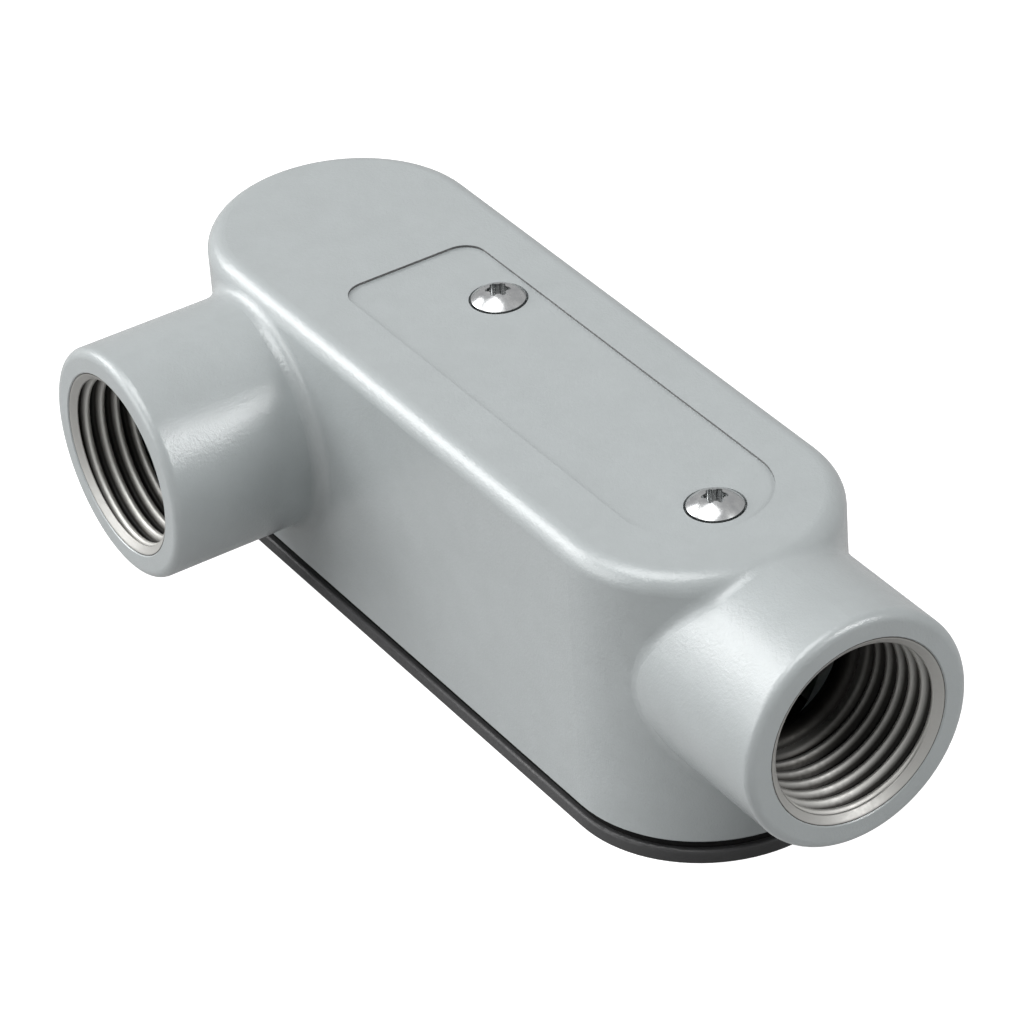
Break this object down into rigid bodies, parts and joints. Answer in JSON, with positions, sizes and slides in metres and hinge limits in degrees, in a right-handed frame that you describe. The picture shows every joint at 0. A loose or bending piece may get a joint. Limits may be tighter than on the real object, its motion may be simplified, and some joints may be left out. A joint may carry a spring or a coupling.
{
  "type": "conduit body",
  "caption": "Cast side-outlet conduit body with two threaded hubs at right angles, a gasketed flat cover and screws in its closed back.",
  "frame": {"origin": "centre of the cover's outer face, the face that the part lies on", "axes": "+Z from the cover to the closed back, +X along the body to the end hub, -Y to the side hub"},
  "size_m": [0.1097, 0.0489, 0.0356],
  "materials": {
    "grey_enamel": "light grey enamel on die-cast aluminium, satin with a fine metallic grain",
    "black_rubber": "matt black sheet rubber",
    "dark_paint": "charcoal paint, satin",
    "bright_zinc": "bright zinc plate on steel"
  },
  "bodies": {
    "root": {"body": "grey_enamel", "gasket": "black_rubber", "cover": "dark_paint", "back_screw_far": "bright_zinc", "back_screw_near": "bright_zinc", "cover_screw_far": "bright_zinc", "cover_screw_near": "bright_zinc"}
  },
  "joints": []
}
